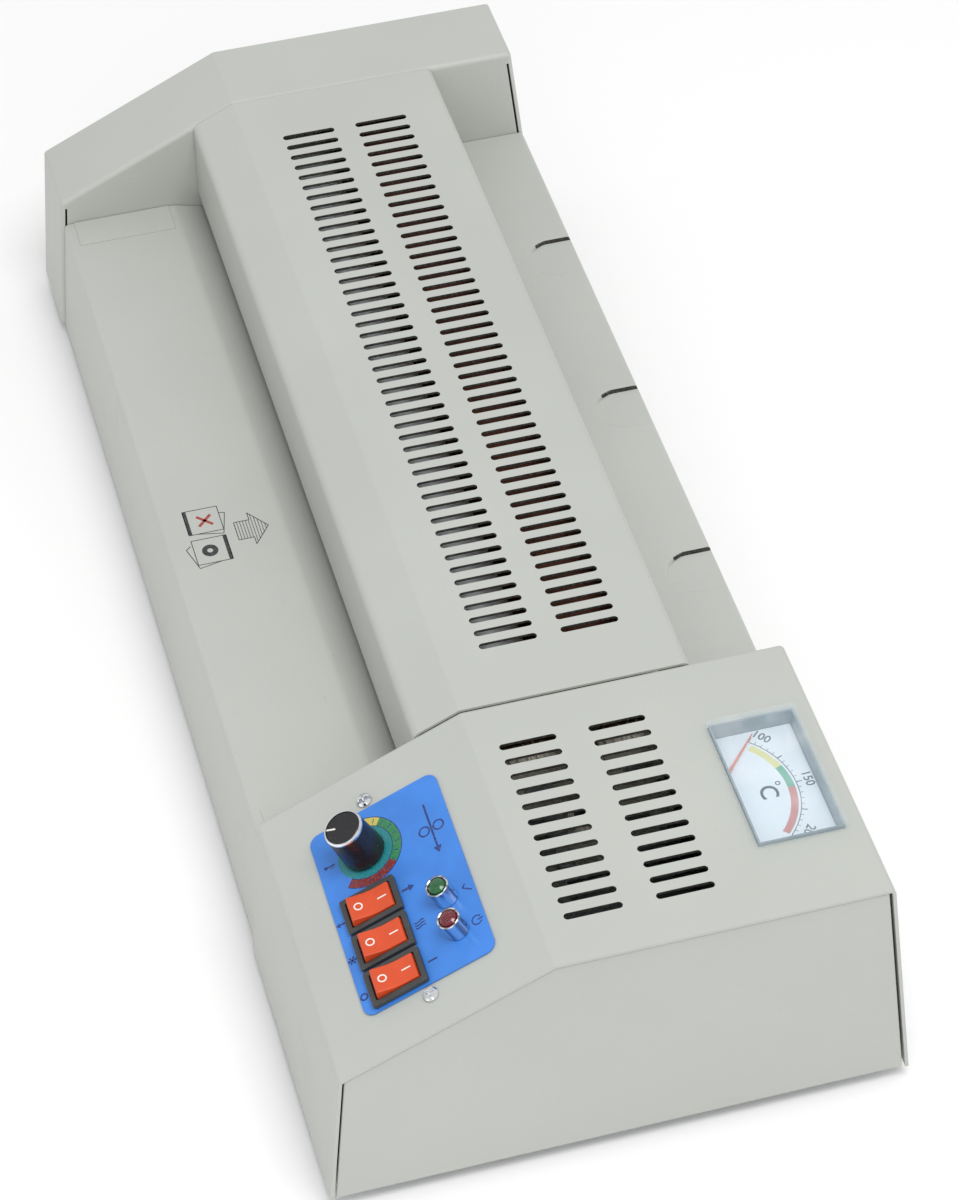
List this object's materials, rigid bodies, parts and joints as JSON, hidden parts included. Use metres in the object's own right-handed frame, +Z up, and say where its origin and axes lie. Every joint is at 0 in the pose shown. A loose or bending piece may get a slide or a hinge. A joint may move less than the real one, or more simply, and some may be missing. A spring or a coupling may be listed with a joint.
{
  "type": "pouch laminator",
  "caption": "Desktop pouch laminator: sheet-metal body with feed table, slotted cover over heated rollers, exit tray, and sloping control face with knob, rockers and thermometer.",
  "frame": {"origin": "middle of the footprint, on the plane the feet stand on", "axes": "+X along the machine towards the control end, -Y the feed side, +Z up"},
  "size_m": [0.5, 0.209, 0.1095],
  "materials": {
    "enamel": "light grey powder coat, fine orange peel",
    "zinc": "zinc-plated sheet, dull",
    "steel": "ground steel",
    "bronze": "sintered bronze",
    "roller_rubber": "red-brown silicone rubber",
    "nylon": "moulded nylon",
    "board": "green circuit board",
    "black_plastic": "black moulded plastic, satin",
    "panel": "blue printed overlay, satin",
    "bezel": "dark grey nylon, fine texture",
    "rocker": "orange-red polycarbonate, white moulded marks",
    "chrome": "bright plate",
    "green_lens": "dark green lens",
    "red_lens": "dark red lens",
    "dial": "white printed dial with yellow, green and red bands",
    "needle_paint": "red painted needle",
    "window": "clear moulded window",
    "foot_rubber": "black rubber"
  },
  "bodies": {
    "body": {"base_pan": "zinc", "feed_table": "enamel", "exit_tray": "enamel", "top_cover": "enamel", "control_cover": "enamel", "far_cover": "enamel", "control_end_plate": "enamel", "far_end_plate": "enamel", "control_side_frame": "zinc", "far_side_frame": "zinc", "hot_bearing_control": "bronze", "hot_bearing_far": "bronze", "pull_bearing_control": "bronze", "pull_bearing_far": "bronze", "upper_heater_plate": "zinc", "lower_heater_plate": "zinc", "motor_bracket": "zinc", "motor_gearbox": "zinc", "motor_can": "steel", "control_board": "board", "terminal_block": "nylon", "cord_gland": "black_plastic", "panel_plate": "panel", "potentiometer": "zinc", "direction_switch_housing": "bezel", "heat_switch_housing": "bezel", "power_switch_housing": "bezel", "ready_lamp_bezel": "chrome", "ready_lamp_lens": "green_lens", "power_lamp_bezel": "chrome", "power_lamp_lens": "red_lens", "meter_case": "black_plastic", "meter_dial": "dial", "meter_window": "window", "foot_front_far": "foot_rubber", "foot_front_control": "foot_rubber", "foot_rear_far": "foot_rubber", "foot_rear_control": "foot_rubber", "panel_screw_left": "chrome", "panel_screw_right": "chrome"},
    "hot_upper": {"hot_upper_roller": "steel", "hot_upper_gear": "nylon"},
    "hot_lower": {"hot_lower_core": "steel", "hot_lower_sleeve": "roller_rubber", "hot_lower_gear": "nylon"},
    "pull_upper": {"pull_upper_core": "steel", "pull_upper_sleeve": "roller_rubber", "pull_upper_gear": "nylon"},
    "pull_lower": {"pull_lower_core": "steel", "pull_lower_sleeve": "roller_rubber", "pull_lower_gear": "nylon"},
    "idler": {"idler_gear": "nylon"},
    "pinion": {"motor_pinion": "steel"},
    "knob": {"knob": "black_plastic", "knob_ring": "chrome", "pot_shaft": "steel"},
    "needle": {"meter_needle": "needle_paint"},
    "direction_rocker": {"direction_rocker": "rocker"},
    "heat_rocker": {"heat_rocker": "rocker"},
    "power_rocker": {"power_rocker": "rocker"}
  },
  "joints": [
    {"name": "hot_upper_spin", "type": "hinge", "parent": "body", "child": "hot_upper", "pos_m": [0, -0.002, 0.079], "axis": [1, 0, 0], "continuous": true},
    {"name": "hot_lower_spin", "type": "hinge", "parent": "body", "child": "hot_lower", "pos_m": [0, -0.002, 0.051], "axis": [1, 0, 0], "continuous": true},
    {"name": "pull_upper_spin", "type": "hinge", "parent": "body", "child": "pull_upper", "pos_m": [0, 0.034, 0.079], "axis": [1, 0, 0], "continuous": true},
    {"name": "pull_lower_spin", "type": "hinge", "parent": "body", "child": "pull_lower", "pos_m": [0, 0.034, 0.051], "axis": [1, 0, 0], "continuous": true},
    {"name": "idler_spin", "type": "hinge", "parent": "body", "child": "idler", "pos_m": [0, 0.016, 0.03835], "axis": [1, 0, 0], "continuous": true},
    {"name": "pinion_spin", "type": "hinge", "parent": "body", "child": "pinion", "pos_m": [0, -0.02173, 0.04382], "axis": [1, 0, 0], "continuous": true},
    {"name": "knob_turn", "type": "hinge", "parent": "body", "child": "knob", "pos_m": [0.1689, -0.07279, 0.09189], "axis": [0, 0.4375, -0.8992], "range_deg": [0, 300]},
    {"name": "needle_swing", "type": "hinge", "parent": "body", "child": "needle", "pos_m": [0.1919, 0.0476, 0.1014], "axis": [0, 0, -1], "range_deg": [0, 93], "stiffness_Nm_per_rad": 0.00002},
    {"name": "direction_rocker_tip", "type": "hinge", "parent": "body", "child": "direction_rocker", "pos_m": [0.1919, -0.07139, 0.08534], "axis": [1, 0, 0], "range_deg": [0, 18]},
    {"name": "heat_rocker_tip", "type": "hinge", "parent": "body", "child": "heat_rocker", "pos_m": [0.2079, -0.07139, 0.08534], "axis": [1, 0, 0], "range_deg": [0, 18]},
    {"name": "power_rocker_tip", "type": "hinge", "parent": "body", "child": "power_rocker", "pos_m": [0.2239, -0.07139, 0.08534], "axis": [1, 0, 0], "range_deg": [0, 18]}
  ],
  "couplings": [
    {"joint": "hot_lower_spin", "follows": "hot_upper_spin", "ratio": -1},
    {"joint": "idler_spin", "follows": "hot_upper_spin", "ratio": 1.75},
    {"joint": "pull_lower_spin", "follows": "hot_upper_spin", "ratio": -1},
    {"joint": "pull_upper_spin", "follows": "hot_upper_spin", "ratio": 1},
    {"joint": "pinion_spin", "follows": "hot_upper_spin", "ratio": 2}
  ]
}
